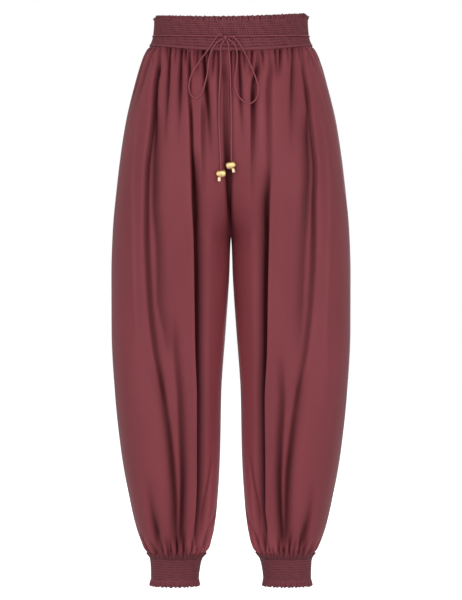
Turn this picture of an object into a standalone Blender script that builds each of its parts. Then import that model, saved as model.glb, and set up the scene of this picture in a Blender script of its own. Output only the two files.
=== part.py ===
"""Gathered balloon-leg trousers: smocked waistband and cuffs, and a drawstring tied in a bow.

Lengths are in metres and every table is in millimetres. Z is up and the front faces -Y. The
origin is the middle of the waist, at the drawstring's height. Left and right are the wearer's,
so the left leg lies on +X. The left leg is worked out and the right one mirrors it.
"""
import math
from collections import namedtuple

import bmesh
import bpy
from mathutils import Matrix, Vector

MM = 0.001

# Driving sizes
PANEL_WALL = 1.6 * MM
BAND_WALL = 2.7 * MM
SEAM_GAP = 0.3 * MM
SIDE_SEAM_FORWARD = math.radians(27)
SIDE_SEAM_STRAIGHT_TO = -95 * MM
SIDE_SEAM_BACK_AT = -475 * MM
FRONT_DIP = 15 * MM
DIP_ENDS_AT = -140 * MM
PANEL_COLUMNS = 24
CORD = 2.0 * MM
CORD_CLEAR = 0.6 * MM
CORD_STEP = 3.2 * CORD
WAIST_CORD_STEPS = 60
CURVE_STEPS = 24
UNEVEN = 0.2
UNEVEN_BEAT = 2.4

# The leg's outline at each level: outer and inner edge from the middle, front and back depth.
# An inner edge below zero lies past the middle, where the two legs are still one.
Section = namedtuple("Section", "level outer inner front back")
LEG_SECTIONS = (
    Section(-16.3, 141.5, -141.5, 100, 100),
    Section(-40, 153.3, -147.0, 108, 110),
    Section(-82, 166.4, -150.0, 118, 125),
    Section(-145, 182.0, -134.0, 126, 141),
    Section(-214, 192.8, -93.0, 129, 150),
    Section(-284, 200.5, -42.0, 126, 149),
    Section(-320, 203.8, -17.5, 121, 143),
    Section(-354, 205.6, 0.2, 116, 137),
    Section(-416, 206.9, 2.6, 109, 125),
    Section(-510, 207.0, 8.7, 104, 114),
    Section(-615, 202.0, 16.2, 99, 106),
    Section(-719, 191.2, 18.8, 91, 96),
    Section(-807, 175.5, 23.5, 78, 82),
    Section(-855, 164.0, 29.0, 67, 70),
    Section(-885, 152.5, 37.0, 56, 58),
    Section(-897.5, 146.3, 43.0, 51.0, 51.0),
)

# The main folds of a leg: distance of each trough from the middle and its depth.
# The crease runs down the middle of the leg, the drape on its outer part, the tuck between.
Folds = namedtuple("Folds", "level crease crease_depth tuck tuck_depth drape drape_depth")
FRONT_FOLDS = (
    Folds(-16.3, 72, 0, 96, 0, 114, 0),
    Folds(-110, 74, 1, 104, 0, 131, 4),
    Folds(-214, 67, 8, 104, 0, 140, 8),
    Folds(-345, 60, 13, 100, 1, 140, 8),
    Folds(-510, 58, 13, 96, 2, 137, 8),
    Folds(-598, 57, 12, 92, 4, 124, 9),
    Folds(-685, 56, 12, 86, 7, 110, 8),
    Folds(-772, 57, 11, 82, 6, 104, 7),
    Folds(-824, 59, 8, 82, 4, 101, 5),
    Folds(-868, 62, 4, 83, 1, 101, 2),
    Folds(-897.5, 70, 0, 88, 0, 104, 0),
)
BACK_FOLDS = (
    Folds(-16.3, 66, 0, 92, 0, 112, 0),
    Folds(-110, 72, 1, 104, 1, 130, 3),
    Folds(-214, 74, 6, 108, 2, 140, 7),
    Folds(-345, 66, 12, 104, 3, 142, 9),
    Folds(-510, 62, 12, 100, 4, 138, 8),
    Folds(-598, 60, 11, 94, 5, 128, 8),
    Folds(-685, 58, 10, 88, 6, 116, 8),
    Folds(-772, 58, 9, 84, 5, 108, 6),
    Folds(-824, 60, 7, 83, 4, 103, 5),
    Folds(-868, 63, 3, 84, 1, 101, 2),
    Folds(-897.5, 70, 0, 88, 0, 104, 0),
)
CREASE_WIDTH = 11 * MM
TUCK_WIDTH = 13 * MM
DRAPE_WIDTH = 20 * MM
CREASE_COLUMN = 8
TUCK_COLUMN = 12
DRAPE_COLUMN = 16

# Gathers at the waist and above the cuff: half their height at each level.
Gather = namedtuple("Gather", "level height")
GATHERS = (
    Gather(-16.3, 0.8),
    Gather(-30, 2.2),
    Gather(-55, 2.8),
    Gather(-95, 2.4),
    Gather(-155, 1.4),
    Gather(-225, 0.5),
    Gather(-290, 0.0),
    Gather(-719, 0.0),
    Gather(-807, 0.8),
    Gather(-855, 1.9),
    Gather(-885, 2.2),
    Gather(-897.5, 0.9),
)
PANEL_LEVELS = (
    -16.6, -29, -53, -90, -145, -214, -284, -320, -354,
    -425, -520, -625, -725, -807, -855, -880, -897.2,
)

# The waistband from its frill down to the gathered seam, and a cuff: how far its front dips and
# how far its middle lies to the side.
BandSection = namedtuple("BandSection", "level half_width depth dip middle")
BAND_SECTIONS = (
    BandSection(39, 134.5, 96.5, 13, 0),
    BandSection(27, 134.0, 96.5, 10.5, 0),
    BandSection(0, 136.0, 97.5, 8, 0),
    BandSection(-16.3, 141.5, 100, 15, 0),
)
CUFF_SECTIONS = (
    BandSection(-897.5, 51.0, 50.4, 0, 94.7),
    BandSection(-906.5, 46.5, 46.5, 0, 95.3),
    BandSection(-915, 44.4, 44.6, 0, 96.1),
    BandSection(-941, 42.2, 42.6, 0, 97.5),
    BandSection(-954, 43.0, 43.4, 0, 97.8),
)

# Smocked zones: each is a stack of ribs between two levels.
Zone = namedtuple("Zone", "top bottom ribs")
UPPER_SMOCKING = Zone(27, 1.8, 6)
LOWER_SMOCKING = Zone(-1.8, -12.6, 3)
WAIST_TAPE = Zone(-12.6, -16.3, 1)
CUFF_SMOCKING = Zone(-906.5, -941, 10)
RIB_HEIGHT = 1.0 * MM
PUCKER = 0.35 * MM
CORD_GROOVE = 1.6 * MM
FRILL_WALL = 1.3 * MM
FRILL_WAVE = 1.1 * MM
FrillRow = namedtuple("FrillRow", "level wave")
WAIST_FRILL = (FrillRow(39, 1.0), FrillRow(35, 0.8), FrillRow(30, 0.35))
CUFF_FRILL = (FrillRow(-947, 0.6), FrillRow(-954, 1.1))
CUFF_LIP = FrillRow(-897.5, 0.6)
FRONT_BAND_COLUMNS = 21
BACK_BAND_COLUMNS = 31
CUFF_COLUMNS = 22

# The bow's knot, and the routes of its loops and ends across the front: x to the wearer's left,
# z up, and off is the distance from the cloth below.
KNOT_MIDDLE = (-9.5, -11.0)
KNOT_HALF = (4.6, 2.8, 3.6)
Stop = namedtuple("Stop", "x z off")
LOOP_RIGHT = (
    Stop(-21.5, -6.0, 0.6), Stop(-38.5, -30.5, 0.8), Stop(-55.0, -54.0, 0.6), Stop(-67.0, -74.0, 0.4),
    Stop(-71.5, -96.0, 0.3), Stop(-67.5, -110.5, 0.3), Stop(-59.0, -115.5, 0.3), Stop(-50.5, -108.0, 0.3),
    Stop(-45.5, -95.0, 0.4), Stop(-40.2, -73.0, 0.6), Stop(-36.6, -44.0, 0.6), Stop(-27.0, -22.5, 0.6),
)
LOOP_LEFT = (
    Stop(3.0, -9.4, 0.6), Stop(10.5, -16.0, 0.8), Stop(18.5, -28.0, 0.8), Stop(31.0, -53.5, 0.6),
    Stop(40.9, -78.0, 0.4), Stop(46.4, -100.0, 0.3), Stop(43.0, -116.0, 0.3), Stop(33.0, -124.5, 0.3),
    Stop(21.5, -121.5, 0.3), Stop(11.6, -110.5, 0.4), Stop(6.2, -92.0, 0.6), Stop(9.3, -64.0, 0.8),
    Stop(10.6, -40.0, 0.8), Stop(6.0, -23.0, 0.8),
)
END_RIGHT = (
    Stop(-15.4, -22.0, 0.6), Stop(-17.6, -31.0, 0.6), Stop(-17.0, -58.0, 0.6), Stop(-19.6, -98.0, 0.4),
    Stop(-20.4, -148.0, 0.3), Stop(-18.8, -196.0, 1.0), Stop(-17.0, -237.5, 2.0),
)
END_LEFT = (
    Stop(-4.6, -22.0, 0.6), Stop(-4.0, -33.0, 0.6), Stop(-1.6, -58.0, 0.6), Stop(-0.4, -108.0, 0.4),
    Stop(0.6, -156.0, 1.0), Stop(0.6, -222.4, 4.0),
)

# Each bead is a pebble lying level, with a short peg below one end of it.
Bead = namedtuple("Bead", "side x z tilt peg_x")
BEADS = (
    Bead("right", -17.0, -243.6, 0, -3.1),
    Bead("left", -0.5, -229.3, 13, 2.4),
)
BEAD_HALF = (8.7, 5.4, 6.5)
BEAD_SQUARE = 2.5
BEAD_DENT = 0.8 * MM
BEAD_DENT_HALF = 0.4
PEG_TOP_RADIUS = 2.8 * MM
PEG_RADIUS = 3.2 * MM
PEG_LENGTH = 7.4 * MM
PEG_SIDES = 10
PEG_ROUND_FROM = 0.75
PEG_TIP = 0.7

# Finishes: colour, roughness, metallic
SATIN = ((0.165, 0.036, 0.046, 1), 0.42, 0.0)
CORD_SATIN = ((0.13, 0.028, 0.035, 1), 0.5, 0.0)
GOLD = ((0.83, 0.60, 0.27, 1), 0.18, 1.0)
PALE_GOLD = ((0.86, 0.70, 0.52, 1), 0.25, 1.0)


def clear_scene():
    for item in list(bpy.data.objects):
        bpy.data.objects.remove(item)


def read(table, column, level):
    """A column at any level, in metres, on a smooth curve that never overshoots its rows."""
    here = level / MM
    levels = [row.level for row in table]
    values = [getattr(row, column) for row in table]
    if here >= levels[0]:
        return values[0] * MM
    if here <= levels[-1]:
        return values[-1] * MM

    def slope(row):
        return (values[row + 1] - values[row]) / (levels[row + 1] - levels[row])

    def tangent(row):
        if row == 0:
            return slope(0)
        if row == len(levels) - 1:
            return slope(row - 1)
        before = slope(row - 1)
        after = slope(row)
        if before * after <= 0:
            return 0.0
        return 2 * before * after / (before + after)

    row = next(n for n in range(len(levels) - 1) if levels[n + 1] <= here)
    span = levels[row + 1] - levels[row]
    share = (here - levels[row]) / span
    rise = share * share * (3 - 2 * share)
    start_bend = share * (1 - share) ** 2 * span * tangent(row)
    end_bend = share * share * (share - 1) * span * tangent(row + 1)
    return (values[row] + rise * (values[row + 1] - values[row]) + start_bend + end_bend) * MM


def smooth_step(share):
    share = min(max(share, 0.0), 1.0)
    return share * share * (3 - 2 * share)


def round_point(level, angle, middle, half_width, depth, lift, dip):
    """A point on an oval ring, lifted off it; angle 0 is the side and +90 degrees the front."""
    across = math.cos(angle)
    along = math.sin(angle)
    facing = Vector((across / half_width, -along / depth, 0)).normalized()
    x = middle + half_width * across + facing.x * lift
    y = -depth * along + facing.y * lift
    drop = 0.0
    if along > 0:
        drop = dip * (1 - min(1.0, abs(x) / (middle + half_width)) ** 2)
    return Vector((x, y, level - drop))


def leg_oval(level, forward):
    """Middle, half width and depth of the left leg's front or back at a level."""
    outer = read(LEG_SECTIONS, "outer", level)
    inner = read(LEG_SECTIONS, "inner", level)
    depth = read(LEG_SECTIONS, "front" if forward else "back", level)
    return (outer + inner) / 2, (outer - inner) / 2, depth


def leg_point(level, angle, lift):
    middle, half_width, depth = leg_oval(level, angle > 0)
    dip = FRONT_DIP * (1 - smooth_step((LEG_SECTIONS[0].level * MM - level) / -DIP_ENDS_AT))
    point = round_point(level, angle, middle, half_width, depth, lift, dip)
    point.x = max(point.x, SEAM_GAP / 2)
    return point


def side_seam_angle(level):
    """The side seam lies forward of the side, and reaches it at mid thigh."""
    run = SIDE_SEAM_BACK_AT - SIDE_SEAM_STRAIGHT_TO
    return SIDE_SEAM_FORWARD * (1 - smooth_step((level - SIDE_SEAM_STRAIGHT_TO) / run))


def panel_angles(level, forward):
    """The angles of a panel's columns, from the middle or inseam out to the side seam."""
    middle, half_width, depth = leg_oval(level, forward)
    folds = FRONT_FOLDS if forward else BACK_FOLDS
    reach = min(1.0, (middle - SEAM_GAP / 2) / half_width)
    inner_edge = min(math.acos(-max(reach, -1.0)), math.pi - SEAM_GAP / 2 / depth)
    seam = side_seam_angle(level)
    half_gap = SEAM_GAP / 2 / depth
    side_edge = seam + half_gap if forward else half_gap - seam

    def fold_angle(name):
        return math.acos(max(-1.0, (read(folds, name, level) - middle) / half_width))

    stops = (
        (0, inner_edge),
        (CREASE_COLUMN, fold_angle("crease")),
        (TUCK_COLUMN, fold_angle("tuck")),
        (DRAPE_COLUMN, fold_angle("drape")),
        (PANEL_COLUMNS - 1, side_edge),
    )
    angles = []
    for (start, from_angle), (end, to_angle) in zip(stops, stops[1:]):
        for column in range(start, end):
            angles.append(from_angle + (to_angle - from_angle) * (column - start) / (end - start))
    angles.append(side_edge)
    return angles


def panel_lift(level, angle, column, forward):
    """Height of the cloth over the leg's oval: main folds, then gathers at both ends."""
    middle, half_width, depth = leg_oval(level, forward)
    folds = FRONT_FOLDS if forward else BACK_FOLDS
    lift = 0.0
    widths = {"crease": CREASE_WIDTH, "tuck": TUCK_WIDTH, "drape": DRAPE_WIDTH}
    for name, width in widths.items():
        at = math.acos((read(folds, name, level) - middle) / half_width)
        pace = math.hypot(half_width * math.sin(at), depth * math.cos(at))
        lift -= read(folds, name + "_depth", level) * math.exp(-((angle - at) * pace / width) ** 2)
    if 0 < column < PANEL_COLUMNS - 1:
        uneven = 1 - UNEVEN + UNEVEN * math.sin(UNEVEN_BEAT * column)
        side = 1 if column % 2 else -1
        lift += side * uneven * read(GATHERS, "height", level)
    return lift


def join(mesh, first, second, ring=False, by_length=False):
    """Faces between two chains of vertices, which may have different counts."""
    if ring:
        first = first + first[:1]
        second = second + second[:1]
    if len(first) == len(second) and not by_length:
        for n in range(len(first) - 1):
            mesh.faces.new((first[n], first[n + 1], second[n + 1], second[n]))
        return
    first_share = chain_shares(first, by_length)
    second_share = chain_shares(second, by_length)
    i = 0
    j = 0
    while i < len(first) - 1 or j < len(second) - 1:
        at_second_end = j == len(second) - 1
        if at_second_end or (i < len(first) - 1 and first_share[i + 1] <= second_share[j + 1]):
            mesh.faces.new((first[i], first[i + 1], second[j]))
            i += 1
        else:
            mesh.faces.new((first[i], second[j + 1], second[j]))
            j += 1


def chain_shares(chain, by_length):
    if not by_length:
        return [n / (len(chain) - 1) for n in range(len(chain))]
    run = [0.0]
    for before, after in zip(chain, chain[1:]):
        run.append(run[-1] + (after.co - before.co).length)
    return [length / run[-1] for length in run]


def add_object(name, mesh, finish):
    data = bpy.data.meshes.new(name)
    mesh.to_mesh(data)
    mesh.free()
    data.shade_smooth()
    data.set_sharp_from_angle(angle=math.radians(50))
    item = bpy.data.objects.new(name, data)
    bpy.context.scene.collection.objects.link(item)
    item.data.materials.append(make_material(name, finish))
    return item


def make_material(name, finish):
    colour, roughness, metallic = finish
    material = bpy.data.materials.new(name)
    material.use_nodes = True
    shader = material.node_tree.nodes["Principled BSDF"]
    shader.inputs["Base Color"].default_value = colour
    shader.inputs["Roughness"].default_value = roughness
    shader.inputs["Metallic"].default_value = metallic
    return material


def add_wall(name, outer, inner, ring=False):
    """A closed wall of cloth between its outer and inner rows of points."""
    mesh = bmesh.new()
    outside = [[mesh.verts.new(point) for point in row] for row in outer]
    inside = [[mesh.verts.new(point) for point in row] for row in inner]
    for rows in (outside, inside):
        for upper, lower in zip(rows, rows[1:]):
            join(mesh, upper, lower, ring)
    join(mesh, outside[0], inside[0], ring)
    join(mesh, outside[-1], inside[-1], ring)
    if not ring:
        for end in (0, -1):
            outside_edge = [row[end] for row in outside]
            inside_edge = [row[end] for row in inside]
            join(mesh, outside_edge, inside_edge, by_length=len(outer) != len(inner))
    bmesh.ops.recalc_face_normals(mesh, faces=mesh.faces)
    return add_object(name, mesh, SATIN)


def mirrored(rows):
    return [[Vector((-point.x, point.y, point.z)) for point in row] for row in rows]


def add_leg_panels():
    for forward in (True, False):
        outer = []
        inner = []
        for level_mm in PANEL_LEVELS:
            level = level_mm * MM
            outer_row = []
            inner_row = []
            for column, angle in enumerate(panel_angles(level, forward)):
                lift = panel_lift(level, angle, column, forward)
                turned = angle if forward else -angle
                outer_row.append(leg_point(level, turned, lift))
                inner_row.append(leg_point(level, turned, lift - PANEL_WALL))
            outer.append(outer_row)
            inner.append(inner_row)
        face = "front" if forward else "back"
        add_wall(f"leg_{face}_left", outer, inner)
        add_wall(f"leg_{face}_right", mirrored(outer), mirrored(inner))


def rib_levels(zone, end_included):
    """Levels and heights of a smocked zone's stitch lines and rib crests, top to bottom."""
    pitch = (zone.bottom - zone.top) / zone.ribs
    rows = []
    for rib in range(zone.ribs):
        rows.append((zone.top + pitch * rib, False, rib))
        rows.append((zone.top + pitch * (rib + 0.5), True, rib))
    if end_included:
        rows.append((zone.bottom, False, zone.ribs))
    return rows


def band_ring(sections, level, lifts, angles):
    """One row of points round a band, with a lift for each column."""
    half_width = read(sections, "half_width", level)
    depth = read(sections, "depth", level)
    dip = read(sections, "dip", level)
    middle = read(sections, "middle", level)
    row = []
    for angle, lift in zip(angles, lifts):
        point = round_point(level, angle, 0.0, half_width, depth, lift, dip)
        point.x += middle
        row.append(point)
    return row


def smocked_row(crest, rib, columns):
    """Lifts of one smocking row: stitch lines lie low, crests swell between the puckers."""
    if not crest:
        return [-RIB_HEIGHT] * columns
    return [PUCKER * (1 if (column + rib) % 2 else -1) - PUCKER for column in range(columns)]


def frill_row(share, columns):
    """Lifts of a frill row: waves that grow towards the free edge."""
    flare = share * FRILL_WAVE
    return [flare * (1 if column % 2 else -1) for column in range(columns)]


def spread(start, end, count, ring=False):
    steps = count if ring else count - 1
    return [start + (end - start) * n / steps for n in range(count)]


def add_waistband(name, start, end, columns):
    """Half of the waistband: frill, upper smocking, cord groove, lower smocking, seam tape."""
    angles = spread(start, end, columns)
    fine_columns = 2 * columns - 1
    fine_angles = spread(start, end, fine_columns)
    outer = []
    inner = []
    for level, share in WAIST_FRILL:
        lifts = frill_row(share, fine_columns)
        outer.append(band_ring(BAND_SECTIONS, level * MM, lifts, fine_angles))
        walls = [lift - FRILL_WALL - (1 - share) * (BAND_WALL - FRILL_WALL) for lift in lifts]
        inner.append(band_ring(BAND_SECTIONS, level * MM, walls, fine_angles))
    rows = rib_levels(UPPER_SMOCKING, True)
    rows += rib_levels(LOWER_SMOCKING, False)
    rows += rib_levels(WAIST_TAPE, True)
    for level, crest, rib in rows:
        lifts = smocked_row(crest, rib, columns)
        if level == LOWER_SMOCKING.top or level == UPPER_SMOCKING.bottom:
            lifts = [-CORD_GROOVE] * columns
        if level == WAIST_TAPE.bottom:
            lifts = [0.0] * columns
        outer.append(band_ring(BAND_SECTIONS, level * MM, lifts, angles))
    for level in (UPPER_SMOCKING.top, 0, WAIST_TAPE.bottom):
        lifts = [-BAND_WALL] * columns
        inner.append(band_ring(BAND_SECTIONS, level * MM, lifts, angles))
    add_wall(name, outer, inner)


def add_cuff(side, direction):
    """A smocked cuff with a small lip above and a frill below."""
    full_turn = 2 * math.pi
    angles = spread(0, full_turn, CUFF_COLUMNS, ring=True)
    fine_angles = spread(0, full_turn, 2 * CUFF_COLUMNS, ring=True)
    outer = []
    inner = []

    def add_row(rows, level, lifts, row_angles):
        rows.append(band_ring(CUFF_SECTIONS, level * MM, lifts, row_angles))

    lip = [lift + PUCKER for lift in frill_row(CUFF_LIP.wave, CUFF_COLUMNS)]
    add_row(outer, CUFF_LIP.level, lip, angles)
    add_row(inner, CUFF_LIP.level, [lift - FRILL_WALL for lift in lip], angles)
    for level, crest, rib in rib_levels(CUFF_SMOCKING, True):
        add_row(outer, level, smocked_row(crest, rib, CUFF_COLUMNS), angles)
    for level in (CUFF_SMOCKING.top, CUFF_SMOCKING.bottom):
        add_row(inner, level, [-BAND_WALL] * CUFF_COLUMNS, angles)
    for level, share in CUFF_FRILL:
        lifts = frill_row(share, 2 * CUFF_COLUMNS)
        add_row(outer, level, lifts, fine_angles)
        add_row(inner, level, [lift - FRILL_WALL for lift in lifts], fine_angles)
    if direction < 0:
        outer = mirrored(outer)
        inner = mirrored(inner)
    add_wall(f"cuff_{side}", outer, inner, ring=True)


def cloth_front(x, z):
    """How far the front reaches forward at a place, over its gathers."""
    seam = LEG_SECTIONS[0].level * MM - FRONT_DIP
    if z > seam:
        half_width = read(BAND_SECTIONS, "half_width", z)
        return read(BAND_SECTIONS, "depth", z) * math.sqrt(1 - (x / half_width) ** 2)
    middle, half_width, depth = leg_oval(z, True)
    share = (abs(x) - middle) / half_width
    return depth * math.sqrt(1 - share * share) + read(GATHERS, "height", z)


def smooth_path(points, spacing):
    """Evenly spaced points on a smooth curve through the given ones."""
    ends = [2 * points[0] - points[1]] + list(points) + [2 * points[-1] - points[-2]]
    fine = []
    for n in range(1, len(ends) - 2):
        before, start, end, after = ends[n - 1:n + 3]
        for step in range(CURVE_STEPS):
            t = step / CURVE_STEPS
            fine.append(0.5 * (2 * start + (end - before) * t
                               + (2 * before - 5 * start + 4 * end - after) * t ** 2
                               + (3 * start - 3 * end + after - before) * t ** 3))
    fine.append(points[-1])
    length = sum((b - a).length for a, b in zip(fine, fine[1:]))
    count = round(length / spacing)
    path = [fine[0]]
    run = 0.0
    for a, b in zip(fine, fine[1:]):
        step = (b - a).length
        while len(path) < count and run + step >= length * len(path) / count:
            path.append(a.lerp(b, (length * len(path) / count - run) / step))
        run += step
    path.append(fine[-1])
    return path


def add_cord(name, path, closed=False, resolution=2):
    curve = bpy.data.curves.new(name, "CURVE")
    curve.dimensions = "3D"
    curve.bevel_depth = CORD / 2
    curve.bevel_resolution = resolution
    curve.use_fill_caps = not closed
    curve.render_resolution_u = 0
    spline = curve.splines.new("POLY")
    spline.points.add(len(path) - 1)
    for point, place in zip(spline.points, path):
        point.co = (*place, 1)
    spline.use_cyclic_u = closed
    item = bpy.data.objects.new(name, curve)
    bpy.context.scene.collection.objects.link(item)
    curve.materials.append(make_material(name, CORD_SATIN))


def knot_middle():
    x = KNOT_MIDDLE[0] * MM
    z = KNOT_MIDDLE[1] * MM
    depth = cloth_front(x, z) - CORD_GROOVE + CORD_CLEAR + CORD + SEAM_GAP + KNOT_HALF[1] * MM
    return Vector((x, -depth, z))


def knot_exit(degrees):
    """Where a cord leaves the knot: a point just clear of it, in a direction across the front."""
    turn = math.radians(degrees)
    across = KNOT_HALF[0] * MM + SEAM_GAP + 0.1 * MM
    up = KNOT_HALF[2] * MM + SEAM_GAP + 0.1 * MM
    return knot_middle() + Vector((across * math.cos(turn), 0, up * math.sin(turn)))


def lay_on_front(stops):
    points = []
    for stop in stops:
        x = stop.x * MM
        z = stop.z * MM
        depth = cloth_front(x, z) + stop.off * MM + CORD / 2 + CORD_CLEAR
        points.append(Vector((x, -depth, z)))
    return points


def add_drawstring():
    turns = spread(0, 2 * math.pi, WAIST_CORD_STEPS, ring=True)
    lifts = [CORD_CLEAR + CORD / 2 - CORD_GROOVE] * len(turns)
    add_cord("drawstring_waist", band_ring(BAND_SECTIONS, 0.0, lifts, turns), True, 1)

    mesh = bmesh.new()
    bmesh.ops.create_uvsphere(mesh, u_segments=10, v_segments=7, radius=1)
    half = Vector(KNOT_HALF) * MM
    for vertex in mesh.verts:
        vertex.co = Vector((vertex.co.x * half.x, vertex.co.y * half.y, vertex.co.z * half.z))
        vertex.co += knot_middle()
    add_object("drawstring_knot", mesh, CORD_SATIN)

    loops = (("bow_loop_right", LOOP_RIGHT, 158, 203), ("bow_loop_left", LOOP_LEFT, 22, -24))
    for name, stops, out, back in loops:
        points = [knot_exit(out)] + lay_on_front(stops) + [knot_exit(back)]
        add_cord(name, smooth_path(points, CORD_STEP))
    ends = (("drawstring_end_right", END_RIGHT, 246), ("drawstring_end_left", END_LEFT, -66))
    for name, stops, out in ends:
        points = [knot_exit(out)] + lay_on_front(stops)
        add_cord(name, smooth_path(points, CORD_STEP))


def squared(point, power):
    """A point of the unit sphere moved out to a rounder-cornered, boxier shape."""
    size = sum(abs(part) ** power for part in point) ** (1 / power)
    return point / size


def add_beads():
    half = Vector(BEAD_HALF) * MM
    for bead, stops in zip(BEADS, (END_RIGHT, END_LEFT)):
        depth = -lay_on_front(stops)[-1].y
        place = Matrix.Translation((bead.x * MM, -depth, bead.z * MM))
        place @= Matrix.Rotation(math.radians(-bead.tilt), 4, "Y")
        mesh = bmesh.new()
        bmesh.ops.create_uvsphere(mesh, u_segments=14, v_segments=8, radius=1)
        for vertex in mesh.verts:
            x, y, z = squared(vertex.co, BEAD_SQUARE)
            dent = BEAD_DENT * max(0.0, z) * math.exp(-(x / BEAD_DENT_HALF) ** 2)
            vertex.co = place @ Vector((x * half.x, y * half.y, z * half.z - dent))
        add_object(f"bead_{bead.side}", mesh, GOLD)

        share = bead.peg_x * MM / half.x
        top = -half.z * (1 - abs(share) ** BEAD_SQUARE) ** (1 / BEAD_SQUARE) - 2 * SEAM_GAP
        mesh = bmesh.new()
        rings = (
            (top, PEG_TOP_RADIUS),
            (top - PEG_LENGTH * PEG_ROUND_FROM, PEG_RADIUS),
            (top - PEG_LENGTH, PEG_RADIUS * PEG_TIP),
        )
        rows = []
        for z, radius in rings:
            row = []
            for turn in spread(0, 2 * math.pi, PEG_SIDES, ring=True):
                offset = Vector((radius * math.cos(turn) + bead.peg_x * MM, radius * math.sin(turn), z))
                row.append(mesh.verts.new(place @ offset))
            rows.append(row)
        for upper, lower in zip(rows, rows[1:]):
            join(mesh, upper, lower, ring=True)
        mesh.faces.new(rows[0])
        mesh.faces.new(rows[-1])
        bmesh.ops.recalc_face_normals(mesh, faces=mesh.faces)
        add_object(f"bead_peg_{bead.side}", mesh, PALE_GOLD)


def main():
    clear_scene()
    gap = SEAM_GAP / 2 / (BAND_SECTIONS[0].depth * MM)
    seam = SIDE_SEAM_FORWARD
    add_waistband("waistband_front", seam + gap, math.pi - seam - gap, FRONT_BAND_COLUMNS)
    add_waistband("waistband_back", math.pi - seam + gap, 2 * math.pi + seam - gap, BACK_BAND_COLUMNS)
    add_leg_panels()
    add_cuff("left", 1)
    add_cuff("right", -1)
    add_drawstring()
    add_beads()


main()
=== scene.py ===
"""Burgundy satin balloon-leg trousers with smocked waistband and cuffs and a bow-tied drawstring.

Every size in a table is in millimetres, and everything else is in metres. Z is up, the front
faces -Y, and left and right are the wearer's, so the left leg lies on +X.
"""
import math
from collections import namedtuple

import bpy
import numpy as np
from mathutils import Matrix, Vector


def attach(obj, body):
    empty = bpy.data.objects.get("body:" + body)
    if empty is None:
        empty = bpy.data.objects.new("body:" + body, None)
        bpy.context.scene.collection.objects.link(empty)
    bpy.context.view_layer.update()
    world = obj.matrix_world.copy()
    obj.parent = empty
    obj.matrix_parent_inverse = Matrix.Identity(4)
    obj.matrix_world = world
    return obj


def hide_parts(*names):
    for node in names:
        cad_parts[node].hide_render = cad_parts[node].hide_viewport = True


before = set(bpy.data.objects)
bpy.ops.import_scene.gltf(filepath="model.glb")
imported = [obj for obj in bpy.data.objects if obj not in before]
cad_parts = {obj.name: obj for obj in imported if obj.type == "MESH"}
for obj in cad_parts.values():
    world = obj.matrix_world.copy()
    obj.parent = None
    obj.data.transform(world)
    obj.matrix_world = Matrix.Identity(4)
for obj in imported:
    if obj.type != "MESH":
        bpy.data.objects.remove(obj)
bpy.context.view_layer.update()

bl_info = {
    "name": "Balloon-leg trousers",
    "version": (1, 0, 0),
    "blender": (4, 5, 0),
    "location": "View3D > Sidebar > Trousers",
    "description": "Builds satin balloon-leg trousers with smocked bands and a bow-tied drawstring",
    "category": "Object",
}

MM = 0.001
FULL_TURN = 2 * math.pi


def make_table(columns, *rows):
    """Rows of numbers under named columns."""
    row_type = namedtuple("Row", columns)
    return [row_type(*row) for row in rows]


# The leg's outline at each level: outer and inner edge from the middle, front and back depth.
LEG_SECTIONS = make_table(
    "level outer inner front back",
    (-16.3, 141.5, -141.5, 100, 100),
    (-40, 153.3, -147.0, 108, 110),
    (-82, 166.4, -150.0, 118, 125),
    (-145, 182.0, -134.0, 126, 141),
    (-214, 192.8, -93.0, 129, 150),
    (-284, 200.5, -42.0, 126, 149),
    (-320, 203.8, -17.5, 121, 143),
    (-354, 205.6, 0.2, 116, 137),
    (-416, 206.9, 2.6, 109, 125),
    (-510, 207.0, 8.7, 104, 114),
    (-615, 202.0, 16.2, 99, 106),
    (-719, 191.2, 18.8, 91, 96),
    (-807, 175.5, 23.5, 78, 82),
    (-855, 164.0, 29.0, 67, 70),
    (-885, 152.5, 37.0, 56, 58),
    (-897.5, 146.3, 43.0, 51.0, 51.0),
)
LEG_TOP = -16.6 * MM
LEG_BOTTOM = -897.2 * MM
CROTCH = -354 * MM
TUCK_UNDER = 1.6 * MM
TUCK_RUN = 2.5 * MM
SIDE_SEAM_FORWARD = math.radians(27)
SIDE_SEAM_STRAIGHT_TO = -95 * MM
SIDE_SEAM_BACK_AT = -475 * MM
FRONT_DIP = 15 * MM
DIP_ENDS_AT = -140 * MM
SEAM_GAP = 0.3 * MM

# Bands: half width, depth, sideways middle, and how far the front dips.
BAND_COLUMNS = "level half_width depth dip middle"
WAIST_SECTIONS = make_table(
    BAND_COLUMNS,
    (36, 134.5, 96.5, 9.5, 0),
    (27, 134.0, 96.5, 10.5, 0),
    (0, 136.0, 97.5, 8, 0),
    (-16.3, 141.5, 100, 15, 0),
)
CUFF_SECTIONS = make_table(
    BAND_COLUMNS,
    (-897.5, 51.0, 50.4, 0, 94.7),
    (-906.5, 46.5, 46.5, 0, 95.3),
    (-915, 44.4, 44.6, 0, 96.1),
    (-941, 42.2, 42.6, 0, 97.5),
    (-954, 43.0, 43.4, 0, 97.8),
)
Zone = namedtuple("Zone", "top bottom ribs")
WAIST_SMOCKING = (Zone(27, 1.8, 6), Zone(-1.8, -12.6, 3))
WAIST_TAPE = Zone(-12.6, -17.8, 1)
CUFF_SMOCKING = Zone(-906.5, -941, 8)
ROW_WAVER = 0.16
STITCH_SINK = 0.3 * MM
# How far the small puckers lift the ribs and the stitch lines, and the painted shade on the ribs, along the
# stitch lines and in the puckers.
Stitching = namedtuple("Stitching", "rib_pucker line_pucker rib_dark line_dark pucker_dark")
WAIST_STITCHING = Stitching(0.2, 0.5, 0.15, 1.4, 0.8)
CUFF_STITCHING = Stitching(0.15, 0.35, 0.1, 1.5, 0.5)
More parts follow.
